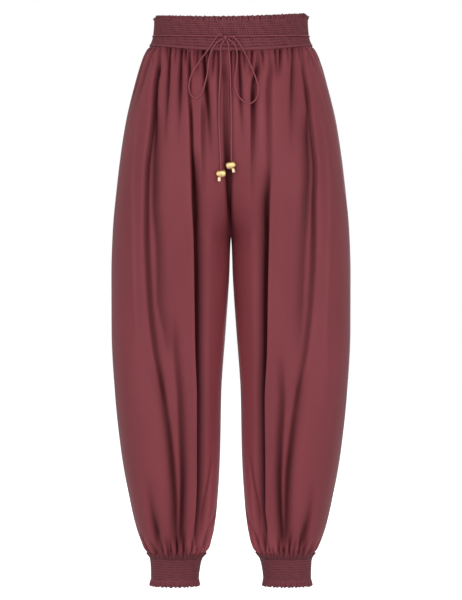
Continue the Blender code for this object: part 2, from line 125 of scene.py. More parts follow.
# Wavelengths along the waistband, and how many waves run round a cuff: the waver of the stitch
# lines, the puckers with their drift, the patches, the frill and the edges.
WaistWaves = namedtuple("WaistWaves", "waver drift pucker patch frill_patch frill_edge tape_edge")
WAIST_WAVES = WaistWaves(43, 31, 3.7, 17, 21, 7.3, 8.3)
CuffWaves = namedtuple("CuffWaves", "waver pucker patch frill lip_edge hem_edge")
CUFF_WAVES = CuffWaves(9, 92, 15, 52, 27, 37)
WAIST_RADIUS = 118 * MM
CUFF_RIB_SHARE = 0.8
CORD_GROOVE = 1.6
FRILL_HEIGHT = 9 * MM
FRILL_PITCH = 4.6 * MM
FRILL_TILT = 1.9 * MM
FRILL_SIDE_DROP = 4 * MM

# Creases of a leg from top to bottom. Each has a steep outer wall and a gentle inner one, and
# its points say how far from the middle it lies and how deep it is.
Trough = namedtuple("Trough", "outer_width inner_width points")
POINT_COLUMNS = "level at depth"


def creases(*rows):
    """Troughs, from rows with the two widths first and then the points."""
    return [Trough(outer, inner, make_table(POINT_COLUMNS, *points)) for outer, inner, *points in rows]


FRONT_TROUGHS = {
    "right": creases(
        (3.2, 13, (-17, 72, 0), (-186, 67, 0), (-237, 64.5, 7), (-288, 62.5, 12), (-356, 58.5, 15),
         (-458, 57, 16), (-543, 56, 16), (-628, 53.5, 15), (-764, 53.5, 13), (-815, 55, 12),
         (-858, 58.5, 9), (-896, 58, 3)),
        (3.4, 9, (-20, 124, 4), (-44, 126.5, 6), (-63, 129, 11), (-83, 132, 10), (-109, 133.5, 10.5),
         (-143, 135.5, 10), (-186, 140.5, 8), (-237, 146, 7.5), (-288, 147, 7), (-342, 146.5, 6.5),
         (-458, 141, 6), (-543, 131, 6), (-600, 120, 4), (-660, 110, 0), (-764, 98, 0), (-893, 94, 0)),
        (2.4, 3.2, (-17, 72, 5), (-49, 72, 8), (-66, 71.5, 7.5), (-88, 71.5, 5.5), (-112, 71, 5),
         (-143, 69, 8), (-186, 67.5, 7.5), (-230, 66, 5), (-290, 63, 0)),
        (4, 15, (-120, 129, 0), (-186, 133, 6), (-237, 134.5, 6.5), (-288, 134, 6.5), (-373, 126, 5.5),
         (-458, 124, 4.5), (-520, 112, 3), (-560, 105, 0)),
        (10, 5.5, (-560, 127, 0), (-628, 115, 6), (-696, 104.5, 8), (-764, 98, 8.5), (-815, 95.5, 8.5),
         (-858, 95, 7), (-893, 94, 2)),
        (6, 9, (-480, 97, 0), (-543, 93, 4), (-628, 85, 6), (-696, 82.5, 7), (-764, 81, 8.5),
         (-815, 82.5, 9), (-858, 84.5, 8.5), (-893, 86, 3)),
        (5, 6, (-720, 31, 0), (-764, 35, 3.5), (-815, 42, 5), (-850, 46, 3), (-880, 48, 0)),
        (4, 6, (-800, 22, 0), (-830, 27, 4), (-858, 38.5, 7), (-880, 43.5, 5), (-896, 45, 2)),
        (5, 12, (-760, 143, 0), (-815, 138, 4), (-858, 131.5, 8), (-896, 125, 3)),
        (2.6, 6, (-105, 48.5, 0), (-143, 48.5, 5), (-186, 48, 4.5), (-237, 47, 2.5), (-285, 46, 0)),
        (4, 5, (-120, 157, 0), (-180, 163, -1.3), (-270, 168, -1.4), (-420, 166, -1.2), (-560, 160, 0)),
    ),
    "left": creases(
        (3.2, 13, (-17, 65, 0), (-220, 64, 0), (-262, 63, 5), (-290, 61.5, 10), (-373, 59, 16),
         (-458, 57.5, 16), (-543, 56.5, 16), (-628, 53, 15), (-764, 54, 13), (-815, 54, 12), (-858, 58, 9),
         (-896, 58, 3)),
        (3.4, 9, (-20, 123, 3), (-63, 127.5, 5), (-83, 131, 6.5), (-109, 134, 7.5), (-143, 137, 6.5),
         (-186, 142, 6.5), (-237, 146, 6.5), (-288, 144.5, 7), (-373, 143, 6), (-458, 138, 5),
         (-543, 129, 5), (-600, 118, 3), (-660, 108, 0), (-764, 96, 0), (-893, 93, 0)),
        (5, 6, (-17, 65, 3), (-49, 69, 4.5), (-83, 65.5, 5), (-112, 64.5, 5), (-143, 65, 4.5),
         (-186, 65, 4), (-237, 64.5, 3.5), (-290, 62, 0)),
        (4, 15, (-130, 131, 0), (-186, 134, 6), (-237, 135.5, 6), (-288, 132, 6), (-373, 125, 4.5),
         (-458, 121, 4), (-560, 116, 0)),
        (10, 5.5, (-570, 124, 0), (-628, 113, 5.5), (-696, 103, 7.5), (-764, 96, 8.5), (-815, 94.5, 8.5),
         (-858, 94.5, 7), (-893, 93, 2)),
        (6, 9, (-540, 84, 0), (-628, 86, 5.5), (-696, 82.5, 7), (-764, 81, 8.5), (-815, 82.5, 9),
         (-858, 86, 8.5), (-893, 88, 3)),
        (5, 6, (-720, 31, 0), (-764, 35, 3.5), (-815, 41.5, 5), (-850, 45, 3), (-880, 47, 0)),
        (4, 6, (-805, 23, 0), (-833, 28, 4), (-860, 38, 7), (-880, 43, 5), (-896, 45, 2)),
        (5, 12, (-765, 141, 0), (-815, 137, 3), (-858, 130, 7.5), (-896, 124, 3)),
        (7, 2.6, (-17, 46, 3), (-39, 45, 6), (-63, 41.5, 10), (-83, 37.5, 8), (-109, 36.5, 10),
         (-143, 36.5, 8), (-186, 36, 5.5), (-237, 35, 3), (-300, 34, 0)),
        (4, 5, (-120, 150, 0), (-200, 163, -1.3), (-300, 168, -1.4), (-440, 165, -1.2), (-560, 160, 0)),
    ),
}
BACK_TROUGHS = {
    "right": creases(
        (3.8, 14, (-90, 58, 0), (-150, 66, 2), (-240, 74, 6), (-345, 68, 11), (-510, 63, 14),
         (-685, 60, 12), (-800, 60, 9), (-860, 58, 4), (-896, 57, 0)),
        (4, 12, (-25, 108, 2), (-80, 116, 4), (-170, 130, 6), (-260, 142, 7), (-345, 143, 7),
         (-510, 138, 6), (-640, 124, 7), (-760, 110, 7), (-840, 104, 4), (-893, 101, 0)),
        (6, 9, (-420, 106, 0), (-510, 104, 3), (-620, 95, 6), (-740, 88, 6), (-830, 86, 3), (-890, 86, 0)),
        (6, 12, (-270, 30, 0), (-340, 32, 5), (-420, 34, 6), (-520, 36, 3), (-600, 38, 0)),
        (4, 6, (-740, 34, 0), (-800, 40, 4), (-850, 46, 4), (-893, 50, 0)),
    ),
    "left": creases(
        (3.8, 14, (-70, 62, 0), (-150, 70, 3), (-240, 72, 7), (-345, 65, 12), (-510, 61, 13),
         (-685, 59, 12), (-800, 59, 9), (-860, 57, 4), (-896, 56, 0)),
        (4, 12, (-25, 112, 2), (-80, 120, 4), (-170, 134, 6), (-260, 144, 7), (-345, 141, 7),
         (-510, 133, 6), (-640, 118, 8), (-760, 104, 7), (-840, 99, 4), (-893, 97, 0)),
        (6, 9, (-470, 96, 0), (-560, 92, 4), (-650, 87, 6), (-740, 84, 6), (-830, 84, 3), (-890, 85, 0)),
        (6, 12, (-290, 34, 0), (-360, 33, 5), (-440, 34, 6), (-540, 37, 3), (-620, 38, 0)),
        (4, 6, (-730, 36, 0), (-790, 42, 4), (-845, 48, 4), (-893, 52, 0)),
    ),
}
# The hollow where the two legs part, left of the middle in front. Its places are signed.
CENTRE_HOLLOW = make_table(
    POINT_COLUMNS,
    (-30, -14, 5), (-63, -11.5, 6.5), (-83, -10, 5), (-143, -9, 6), (-186, -7.5, 7), (-237, -4.5, 9),
    (-288, -2.5, 9), (-320, -1, 7), (-345, 0, 3), (-370, 0, 0),
)
CENTRE_WIDTH = 5.5
SIDE_FADE = 7 * MM
INSEAM_FADE = 9 * MM
MIDDLE_FADE = 12 * MM
SIDE_SEAM_RIDGE = 0.4 * MM
SIDE_SEAM_WIDTH = 1.6 * MM
# Painted light along the side seam's ridge.
SIDE_SEAM_PAINTED_LIGHT = 6
CREASE_COLUMNS = (0.36, 0.70)
CREASE_REACH = 10 * MM
COLUMN_STEPS = 600
# Painted shade deep in the creases and a painted highlight on the crest outside each steep wall.
CREASE_PAINTED_SHADE = 1.0
CREST_PAINTED_HIGHLIGHT = 0.07

# Gathers under the waistband in front, from the wearer's right to left: place at the seam and
# at the low end, the low end's level, depth and half width.
WAIST_GATHERS = make_table(
    "top low level depth width",
    (-139, -146, -66, 3.4, 2.4), (-131.5, -135.5, -64, 3.4, 2.2), (-112, -108, -52, 4.5, 2.2),
    (-105.5, -114.5, -215, 8.5, 3.4), (-95, -97, -58, 4.6, 2.2), (-86, -90, -205, 8.5, 3.4),
    (-78.5, -77, -54, 6.5, 2.4), (-63, -62.5, -50, 3.5, 2.0), (-57.5, -58, -74, 6.0, 2.6),
    (-48, -30, -250, 10, 3.8), (-38.5, -40, -52, 7.0, 2.4), (-28.5, -33.5, -82, 6.2, 2.4),
    (-22, -19.5, -215, 6.0, 2.2), (0, -1.5, -205, 5.5, 2.0), (7.5, 6, -74, 4.8, 2.0),
    (13.5, 20, -215, 7.5, 2.6), (21, 25, -66, 5.0, 2.2), (27, 27.5, -50, 3.0, 1.8),
    (36.5, 33, -74, 6.5, 2.4), (54, 56.5, -62, 5.0, 2.2), (76, 80, -84, 5.6, 2.6),
    (85.5, 83.5, -76, 7.5, 2.6), (97, 98.5, -56, 3.5, 2.2), (107, 102, -230, 6.0, 4.6),
    (117, 120, -54, 3.0, 2.0), (131.5, 134, -64, 3.4, 2.4), (141, 149, -70, 3.0, 2.4),
)
BACK_GATHERS = 19
CUFF_GATHERS = 36
GATHER_BEAT = 0.7549
GATHER_POWER = 1.2
PUCKER_PITCH = 4.2 * MM
PUCKER_RUN = 14 * MM
PUCKER_DEPTH = 1.1 * MM
# Painted shade in the puckers and in the gathers.
PUCKER_PAINTED_SHADE = 2.6
GATHER_PAINTED_SHADE = 1.3
GATHER_PUFF = 0.9
NOTCH_RUN = 8 * MM
NOTCH_DEPTH = 0.35
NOTCH_WIDTH = 0.5
SEAM_RUN = 6 * MM
WAVE_HEIGHT = 0.55 * MM
WAVES_REACH = 30 * MM
CROTCH_EASE = 70 * MM
# Painted light on the inner legs near the inseam below the crotch, and how far it reaches.
INSEAM_PAINTED_LIGHT = 8 * MM
INSEAM_PAINTED_LIGHT_REACH = 54 * MM

# The bow: its knot and the routes across the front, with off the distance from the cloth.
KNOT_MIDDLE = (-9.5, -11.0)
KNOT_HALF = (4.6, 2.8, 3.6)
STOP_COLUMNS = "x z off"
LOOP_RIGHT = make_table(
    STOP_COLUMNS,
    (-21.5, -6.0, 0.6), (-38.5, -30.5, 0.8), (-55.0, -54.0, 0.6), (-67.0, -74.0, 0.4), (-71.5, -96.0, 0.3),
    (-67.5, -110.5, 0.3), (-59.0, -115.5, 0.3), (-50.5, -108.0, 0.3), (-45.5, -95.0, 0.4),
    (-40.2, -73.0, 0.6), (-36.6, -44.0, 0.6), (-27.0, -22.5, 0.6),
)
LOOP_LEFT = make_table(
    STOP_COLUMNS,
    (3.0, -9.4, 0.6), (10.5, -16.0, 0.8), (18.5, -28.0, 0.8), (31.0, -53.5, 0.6), (40.9, -78.0, 0.4),
    (46.4, -100.0, 0.3), (43.0, -116.0, 0.3), (33.0, -124.5, 0.3), (21.5, -121.5, 0.3),
    (11.6, -110.5, 0.4), (6.2, -92.0, 0.6), (9.3, -64.0, 0.8), (10.6, -40.0, 0.8), (6.0, -23.0, 0.8),
)
END_RIGHT = make_table(
    STOP_COLUMNS,
    (-15.4, -22.0, 0.6), (-17.6, -31.0, 0.6), (-17.0, -58.0, 0.6), (-19.6, -98.0, 0.4),
    (-20.4, -148.0, 0.3), (-18.8, -196.0, 1.0), (-17.0, -237.5, 2.0),
)
END_LEFT = make_table(
    STOP_COLUMNS,
    (-4.6, -22.0, 0.6), (-4.0, -33.0, 0.6), (-1.6, -58.0, 0.6), (-0.4, -108.0, 0.4), (0.6, -156.0, 1.0),
    (0.6, -222.4, 4.0),
)
# Each strand's route and the angles in degrees at which it leaves the knot and comes back to it.
BOW_LOOPS = (("right", LOOP_RIGHT, 158, 203), ("left", LOOP_LEFT, 22, -24))
BOW_ENDS = (("right", END_RIGHT, 246), ("left", END_LEFT, -66))
CORD_CLEAR = 0.6 * MM
# Each bead is a pebble at a place, tilted in degrees, with its peg beside its middle.
BEADS = make_table(
    "side x z tilt peg_x",
    ("right", -17.0, -243.6, 0, -3.1),
    ("left", -0.5, -229.3, 13, 2.4),
)
BEAD_HALF = (8.7, 5.4, 6.5)
BEAD_SQUARE = 2.5
BEAD_TAPER = 0.11
PEG_RADIUS = 3.3 * MM
PEG_LENGTH = 7.8 * MM
PEG_SQUARE = 7

# Columns and rows of each piece's grid, the cloth that each UV map spreads over, steps along the
# cords and the finer sizes of the beads.
LEG_ROWS = 156
LEG_COLUMNS = {"front": 210, "back": 132}
BAND_GRID = (400, 78)
CUFF_GRID = (373, 70)
PEBBLE_GRID = (48, 28)
PEG_GRID = (32, 32)
LEG_CLOTH = (0.33, 0.89)
CUFF_CLOTH = (0.52, 0.055)
WELD = 0.00001
RING_STEPS = 240
KNOT_STEPS = 120
PATH_SPACING = 0.0018
BEAD_DENT = 0.8 * MM
BEAD_DENT_HALF = 0.4
PEG_SINK = 0.3 * MM

SATIN_TINTS = {
    "Specular Tint": (0.95, 0.55, 0.60, 1),
    "Sheen Tint": (0.85, 0.42, 0.48, 1),
}
LEG_ROUGHNESS = 0.42
BAND_ROUGHNESS = 0.5
# Spans of painted shade values, in millimetres, over which the satin runs from its painted-light colour to
# its painted shade colour.
LEG_PAINTED_SHADE_RANGE = (-8, 9)
BAND_PAINTED_SHADE_RANGE = (-0.6, 1.4)
COOL_LIGHT = (0.92, 0.97, 1.0)
WARM_LIGHT = (1.0, 0.97, 0.92)
LIGHTS = (
    ("light_front", (0.2, -3.3, 0.9), 2.2, 29, COOL_LIGHT),
    ("light_half_left", (1.8, -2.9, 0.0), 1.8, 13.8, WARM_LIGHT),
    ("light_half_right", (-1.8, -2.9, 0.0), 1.8, 13.8, WARM_LIGHT),
    ("light_left", (2.4, -1.3, -0.2), 1.4, 9.5, WARM_LIGHT),
    ("light_right", (-2.4, -1.3, -0.2), 1.4, 9.5, WARM_LIGHT),
    ("light_back", (0.3, 3.4, 0.4), 2.2, 24, COOL_LIGHT),
)
CAMERA_LENS = 169
FLOOR_SIZE = 30


def length_field(name, description, default):
    return bpy.props.FloatProperty(name=name, description=description, default=default, unit="LENGTH")


def colour_field(name, description, default):
    return bpy.props.FloatVectorProperty(
        name=name, description=description, default=default, size=3, subtype="COLOR", min=0, max=1)


class TrousersCloth(bpy.types.PropertyGroup):
    """Sizes and colours of the satin."""
    wall: length_field("Cloth", "Thickness of the satin", 0.0007)
    band_wall: length_field("Band cloth", "Thickness of the smocked bands", 0.0011)
    rib: length_field("Smocking", "Height of the smocked ribs", 0.0013)
    # Each satin colour pair runs from the colour under the most painted light to painted shade deep in
    # folds and along stitch lines.
    colour: colour_field("Satin", "Colour of the satin", (0.40, 0.090, 0.112))
    painted_shade_colour: colour_field("Satin in folds", "Colour deep in the folds", (0.036, 0.0034, 0.0044))
    band_colour: colour_field("Smocked satin", "Colour of the smocked bands", (0.248, 0.066, 0.082))
    band_painted_shade_colour: colour_field("Smocking lines", "Colour along the stitch lines", (0.045, 0.009, 0.011))


class TrousersCord(bpy.types.PropertyGroup):
    """Sizes and colour of the drawstring."""
    diameter: length_field("Cord", "Diameter of the drawstring", 0.0024)
    colour: colour_field("Cord colour", "Colour of the drawstring", (0.30, 0.078, 0.098))


class TrousersBeads(bpy.types.PropertyGroup):
    """Colours of the beads."""
    gold: colour_field("Gold", "Colour of the pebble beads", (0.84, 0.63, 0.29))
    pale_gold: colour_field("Pale gold", "Colour of the pegs", (0.80, 0.62, 0.45))


class TrousersStage(bpy.types.PropertyGroup):
    """Camera and light."""
    distance: length_field("Camera distance", "From the garment's middle", 4.9)
    height: length_field("Camera height", "Above the waist", -0.458)
    ambient: bpy.props.FloatProperty(
        name="Ambient light", description="Light from all round", default=0.4)
    floor: length_field("Floor", "Height of the floor", -1.02)


Oval = namedtuple("Oval", "middle half_width depth")


def smooth_step(share):
    share = np.clip(share, 0.0, 1.0)
    return share * share * (3 - 2 * share)


def read(table, column, level):
    """A column at any level, in metres, on a smooth curve that never overshoots its rows."""
    here = level / MM
    levels = [row.level for row in table]
    values = [getattr(row, column) for row in table]
    if here >= levels[0]:
        return values[0] * MM
    if here <= levels[-1]:
        return values[-1] * MM

    def slope(row):
        return (values[row + 1] - values[row]) / (levels[row + 1] - levels[row])

    def tangent(row):
        if row == 0:
            return slope(0)
        if row == len(levels) - 1:
            return slope(row - 1)
        before = slope(row - 1)
        after = slope(row)
        if before * after <= 0:
            return 0.0
        return 2 * before * after / (before + after)

    row = next(n for n in range(len(levels) - 1) if levels[n + 1] <= here)
    span = levels[row + 1] - levels[row]
    share = (here - levels[row]) / span
    rise = share * share * (3 - 2 * share)
    start_bend = share * (1 - share) ** 2 * span * tangent(row)
    end_bend = share * share * (share - 1) * span * tangent(row + 1)
    return (values[row] + rise * (values[row + 1] - values[row]) + start_bend + end_bend) * MM


def uneven(number, beat=0.618034):
    """A share from 0 to 1 that jumps about from one number to the next, the same each run."""
    return (number * beat + 0.37 * math.sin(number * 2.3)) % 1.0


def ripple(position, seed):
    """A smooth irregular wave of about -1 to 1 along a length given in wavelengths."""
    wave = np.sin(FULL_TURN * position + seed)
    wave = wave + 0.6 * np.sin(FULL_TURN * position * 0.53 + seed * 2.1 + 1.3)
    wave = wave + 0.4 * np.sin(FULL_TURN * position * 1.71 + seed * 3.7 + 0.4)
    return wave / 1.7


def ring_points(level, angles, half_width, depth, middle, lift, dip, outer):
    """Points on an oval, lifted off it; angle 0 is the left and +90 degrees the front."""
    across = np.cos(angles)
    along = np.sin(angles)
    facing_x = across / half_width
    facing_y = -along / depth
    length = np.hypot(facing_x, facing_y)
    x = middle + half_width * across + facing_x / length * lift
    y = -depth * along + facing_y / length * lift
    share = np.minimum(1.0, np.abs(x) / outer)
    z = level - np.where(along > 0, dip * (1 - share ** 2), 0.0)
    return np.stack([x, y, z], axis=-1)


def leg_oval(level, forward):
    outer = read(LEG_SECTIONS, "outer", level)
    inner = read(LEG_SECTIONS, "inner", level)
    depth = read(LEG_SECTIONS, "front" if forward else "back", level)
    return Oval((outer + inner) / 2, (outer - inner) / 2, depth)


def mean_radius(oval):
    return (oval.half_width + oval.depth) / 2


def side_seam_angle(level, forward):
    """The side seam's angle counted towards the panel's own face."""
    run = SIDE_SEAM_BACK_AT - SIDE_SEAM_STRAIGHT_TO
    seam = SIDE_SEAM_FORWARD * (1 - float(smooth_step((level - SIDE_SEAM_STRAIGHT_TO) / run)))
    return seam if forward else -seam


def place_angle(place, oval):
    """The angle at a distance from the middle and the run of cloth for each radian there."""
    across = (place - oval.middle) / oval.half_width
    if abs(across) >= 1:
        return None, None
    angle = math.acos(across)
    return angle, math.hypot(oval.half_width * math.sin(angle), oval.depth * math.cos(angle))


def valley(angles, at, pace, depth, outer_width, inner_width, power=2.0):
    """A trough across a row of points; a lower power gives it a sharper bottom."""
    away = (angles - at) * pace
    width = np.where(away > 0, inner_width, outer_width)
    return -depth * np.exp(-(np.abs(away) / width) ** power)


def trough_lift(troughs, level, angles, oval):
    """Lift of the long creases, with painted shade in their bottoms and a painted highlight on the crest
    beside each.
    """
    lift = np.zeros_like(angles)
    painted_dark = np.zeros_like(angles)
    for trough in troughs:
        depth = read(trough.points, "depth", level)
        at, pace = place_angle(read(trough.points, "at", level), oval)
        if depth == 0 or at is None:
            continue
        outer = trough.outer_width * MM
        fall = valley(angles, at, pace, depth, outer, trough.inner_width * MM)
        # A painted highlight on the crest outside the steep wall, added to the painted shade in the crease.
        crest_highlight = valley(angles, at - 2 * outer / pace, pace, depth, 1.5 * outer, outer)
        lift += fall
        painted_dark += CREASE_PAINTED_SHADE * (0.6 * fall * fall / depth - 0.4 * fall) + CREST_PAINTED_HIGHLIGHT * crest_highlight
    return lift, painted_dark


def gather_valley(angles, at, pace, run, length, depth, width):
    """One gather at a run from its seam: a wide deep notch there, then a crease that fades out."""
    share = run / length
    notch = math.exp(-max(0.0, run) / NOTCH_RUN)
    depth_here = depth * (1 + NOTCH_DEPTH * notch) * (1 - smooth_step((share - 0.25) / 0.75))
    width_here = width * (0.7 + 0.9 * share + NOTCH_WIDTH * notch)
    return valley(angles, at, pace, depth_here, width_here, width_here, GATHER_POWER)


def waist_gather_lift(level, angles, oval, direction):
    lift = np.zeros_like(angles)
    run = LEG_TOP - level
    for gather in WAIST_GATHERS:
        length = LEG_TOP - gather.level * MM
        if run >= length:
            continue
        place = direction * (gather.top + (gather.low - gather.top) * run / length) * MM
        at, pace = place_angle(place, oval)
        if at is not None:
            lift += gather_valley(angles, at, pace, run, length, gather.depth * MM, gather.width * MM)
    return lift


def back_gather_lift(level, angles, oval, direction):
    """Gathers under the waistband behind, spaced unevenly by angle from the side to the middle."""
    lift = np.zeros_like(angles)
    run = LEG_TOP - level
    pace = mean_radius(oval)
    start = -SIDE_SEAM_FORWARD
    seed = 3 if direction > 0 else 40
    for number in range(BACK_GATHERS):
        share_round = (number + 0.25 + 0.5 * uneven(number + seed)) / BACK_GATHERS
        at = start + (math.radians(92) - start) * share_round
        length = (40 + 110 * uneven(number + seed + 7, GATHER_BEAT) ** 1.4) * MM
        if number % 2:
            length *= 0.55
        if run < length:
            depth = (3.4 + 4.5 * length / (150 * MM)) * MM
            lift += gather_valley(angles, at, pace, run, length, depth, (2.4 + 8 * length) * MM)
    return lift


def cuff_gather_lift(level, angles, oval, forward, seed):
    """Gathers above the cuff, all round the leg."""
    lift = np.zeros_like(angles)
    run = level - LEG_BOTTOM
    pace = mean_radius(oval)
    for number in range(CUFF_GATHERS):
        turn = FULL_TURN * (number + 0.6 * uneven(number + seed)) / CUFF_GATHERS
        at = turn if turn <= math.pi else turn - FULL_TURN
        if not forward:
            at = -at
        length = (20 + 52 * uneven(number + seed + 5, GATHER_BEAT) ** 1.8) * MM
        if run >= length:
            continue
        depth = (3.2 + 3.6 * length / (60 * MM)) * MM
        for around in (at, at - FULL_TURN, at + FULL_TURN):
            lift += gather_valley(angles, around, pace, run, length, depth, 2.3 * MM)
    return lift


def puckers(level, angles, oval, seed):
    """Fine puckers right against the two gathered seams."""
    run = angles * mean_radius(oval)
    near_top = 1 - smooth_step((LEG_TOP - level) / PUCKER_RUN)
    near_cuff = 1 - smooth_step((level - LEG_BOTTOM) / PUCKER_RUN)
    return -PUCKER_DEPTH * (near_top + near_cuff) * (0.7 + ripple(run / PUCKER_PITCH, seed))


def soft_waves(points):
    """Low waves of the hanging cloth, long from top to bottom and the same on both sides of a seam."""
    x, y, z = (points[..., n] / MM for n in range(3))
    wave = np.sin(x / 23 + z / 190 + 0.6) * np.sin(y / 27 - z / 240)
    wave = wave + 0.5 * np.sin(x / 11 - z / 150 + 1.9) * np.sin(y / 14 + z / 170 + 0.7)
    return wave * WAVE_HEIGHT


def panel_levels(count):
    """Levels from the bottom up, closer together near the gathered ends, with a row tucked
    under each band."""
    share = np.linspace(0, 1, count - 2)
    eased = share - 0.085 * np.sin(FULL_TURN * share)
    levels = LEG_BOTTOM + (LEG_TOP - LEG_BOTTOM) * eased
    return np.concatenate([[LEG_BOTTOM - TUCK_RUN], levels, [LEG_TOP + TUCK_RUN]])


def column_angles(level, forward, troughs, oval, count):
    """Columns from the middle or inseam to the side seam, closer together along the creases."""
    reach = min(1.0, oval.middle / oval.half_width)
    inner_edge = math.acos(-max(reach, -1.0))
    fine = np.linspace(inner_edge, side_seam_angle(level, forward), COLUMN_STEPS)
    density = np.ones_like(fine)
    anchors = []
    for trough in troughs[:2]:
        at, pace = place_angle(read(trough.points, "at", level), oval)
        away = (fine - at) * pace
        density += 2.0 * np.exp(-(away / CREASE_REACH) ** 2)
        anchors.append(at)
    share = np.concatenate([[0.0], np.cumsum((density[1:] + density[:-1]) / 2)])
    share /= share[-1]
    passed = [np.interp(-at, -fine, share) for at in anchors]
    share = np.interp(share, [0, *passed, 1], [0, *CREASE_COLUMNS, 1])
    return np.interp(np.linspace(0, 1, count), share, fine)


def centre_lift(level, across):
    """The hollow where the legs part, at places counted from the middle towards the left."""
    depth = read(CENTRE_HOLLOW, "depth", level)
    away = across - read(CENTRE_HOLLOW, "at", level)
    return -depth * np.exp(-(away / (CENTRE_WIDTH * MM)) ** 2)


def panel_lift(side, troughs, forward, level, angles, oval):
    """Folds and gathers of one row, which die out at the side seam and the inseam, with the painted shade
    that goes with them and painted light on the inner legs."""
    direction = 1 if side == "left" else -1
    pace = mean_radius(oval)
    from_inseam = np.abs(angles - math.pi) * pace
    fade = smooth_step(np.abs(angles - side_seam_angle(level, forward)) * pace / SIDE_FADE)
    if level < CROTCH:
        fade *= smooth_step(from_inseam / INSEAM_FADE)
    folds, painted_dark = trough_lift(troughs, level, angles, oval)
    if forward:
        gathers = waist_gather_lift(level, angles, oval, direction)
    else:
        gathers = back_gather_lift(level, angles, oval, direction)
        gathers *= smooth_step((angles[0] - angles) * pace / INSEAM_FADE)
    gathers += cuff_gather_lift(level, angles, oval, forward, 11 if side == "left" else 58)
    gathers -= GATHER_PUFF * gathers.mean()
    below = float(smooth_step((CROTCH + 40 * MM - level) / (60 * MM)))
    # Painted light on the inner legs near the inseam, below the crotch.
    inseam_painted_light = INSEAM_PAINTED_LIGHT * below * np.exp(-(from_inseam / INSEAM_PAINTED_LIGHT_REACH) ** 2)
    lift = (folds + gathers) * fade
    # Painted shade in the gathers, faded with them, less the painted light on the inner legs.
    painted_dark = (painted_dark - GATHER_PAINTED_SHADE * gathers) * fade - inseam_painted_light
    if forward:
        hollow = centre_lift(level, direction * (oval.middle + oval.half_width * np.cos(angles)))
        lift += hollow
        # Painted shade in the hollow where the legs part.
        painted_dark -= hollow
    return lift, painted_dark


def panel_rows(side, forward, columns, rows):
    """Points and painted shade values of one leg panel, bottom row first and facing out."""
    direction = 1 if side == "left" else -1
    troughs = (FRONT_TROUGHS if forward else BACK_TROUGHS)[side]
    points = np.zeros((rows, columns, 3))
    folds = np.zeros((rows, columns))
    for number, level in enumerate(panel_levels(rows)):
        oval = leg_oval(level, forward)
        angles = column_angles(level, forward, troughs, oval, columns)
        pace = mean_radius(oval)
        fine = puckers(level, angles, oval, 1.0 if forward else 2.0)
        lift, painted_dark = panel_lift(side, troughs, forward, level, angles, oval)
        from_seam = np.abs(angles - side_seam_angle(level, forward)) * pace
        ridge = SIDE_SEAM_RIDGE * np.exp(-(from_seam / SIDE_SEAM_WIDTH) ** 2)
        # Painted shade of creases, gathers, the hollow and puckers, less painted light on the side seam's
        # ridge.
        folds[number] = painted_dark - PUCKER_PAINTED_SHADE * fine - SIDE_SEAM_PAINTED_LIGHT * ridge
        puffed = float(smooth_step(min(LEG_TOP - level, level - LEG_BOTTOM) / SEAM_RUN))
        lift = (lift + fine) * puffed + ridge - TUCK_UNDER * (1 - puffed)
        turned = angles if forward else -angles
        dip = FRONT_DIP * (1 - float(smooth_step((LEG_TOP - level) / -DIP_ENDS_AT)))
        outer = oval.middle + oval.half_width
        depth = np.where(turned > 0, leg_oval(level, True).depth, leg_oval(level, False).depth)
        row = ring_points(level, turned, oval.half_width, depth, oval.middle, lift, dip, outer)
        lift = lift + soft_waves(row) * smooth_step((LEG_TOP - level) / WAVES_REACH)
        row = ring_points(level, turned, oval.half_width, depth, oval.middle, lift, dip, outer)
        if level > CROTCH:
            from_edge = (angles[0] - angles) * pace
            row[:, 0] -= row[0, 0] * np.exp(-(from_edge / MIDDLE_FADE) ** 2)
        row[:, 0] = np.maximum(row[:, 0], 0) * direction
        points[number] = row
    points[..., 1] = ease_at_crotch(points)
    if (direction > 0) != forward:
        return points[:, ::-1], folds[:, ::-1]
    return points, folds


def ease_at_crotch(points):
    """The panel's depth, evened from row to row where the legs part, away from the inseam."""
    reach = 6
    padded = np.pad(points[..., 1], ((reach, reach), (0, 0)), mode="edge")
    rows = len(points)
    evened = sum(padded[n:n + rows] for n in range(2 * reach + 1)) / (2 * reach + 1)
    across = np.abs(points[..., 0])
    near = np.exp(-((points[..., 2] - CROTCH) / CROTCH_EASE) ** 2)
    share = near * smooth_step((across - 8 * MM) / (40 * MM))
    return points[..., 1] * (1 - share) + evened * share


def add_grid(name, points, folds, width, height):
    """A grid primitive shaped to rows of points, with its painted shade and painted light values and a UV
    map in metres.
    """
    rows, columns = points.shape[:2]
    bpy.ops.mesh.primitive_grid_add(x_subdivisions=columns - 1, y_subdivisions=rows - 1, size=1)
    piece = bpy.context.object
    piece.name = name
    mesh = piece.data
    mesh.vertices.foreach_set("co", points.reshape(-1))
    # Painted shade and painted light for each point, read by the satin's colour ramp.
    depth = mesh.attributes.new("painted_shade", "FLOAT", "POINT")
    depth.data.foreach_set("value", folds.reshape(-1))
    places = np.zeros(2 * len(mesh.loops))
    mesh.uv_layers.active.data.foreach_get("uv", places)
    places = places.reshape(-1, 2) * (width, height)
    mesh.uv_layers.active.data.foreach_set("uv", places.reshape(-1))
    mesh.update()
    return piece


def select_only(piece):
    bpy.ops.object.select_all(action="DESELECT")
    piece.select_set(True)
    bpy.context.view_layer.objects.active = piece


def close_ring(piece):
    """Joins the first and last columns of a band that runs all the way round."""
    select_only(piece)
    bpy.ops.object.mode_set(mode="EDIT")
    bpy.ops.mesh.select_all(action="SELECT")
    bpy.ops.mesh.remove_doubles(threshold=WELD)
    bpy.ops.object.mode_set(mode="OBJECT")


def give_thickness(piece, wall):
    select_only(piece)
    shell = piece.modifiers.new("Cloth", "SOLIDIFY")
    shell.thickness = wall
    shell.offset = -1
    bpy.ops.object.modifier_apply(modifier=shell.name)
    bpy.ops.object.shade_smooth()


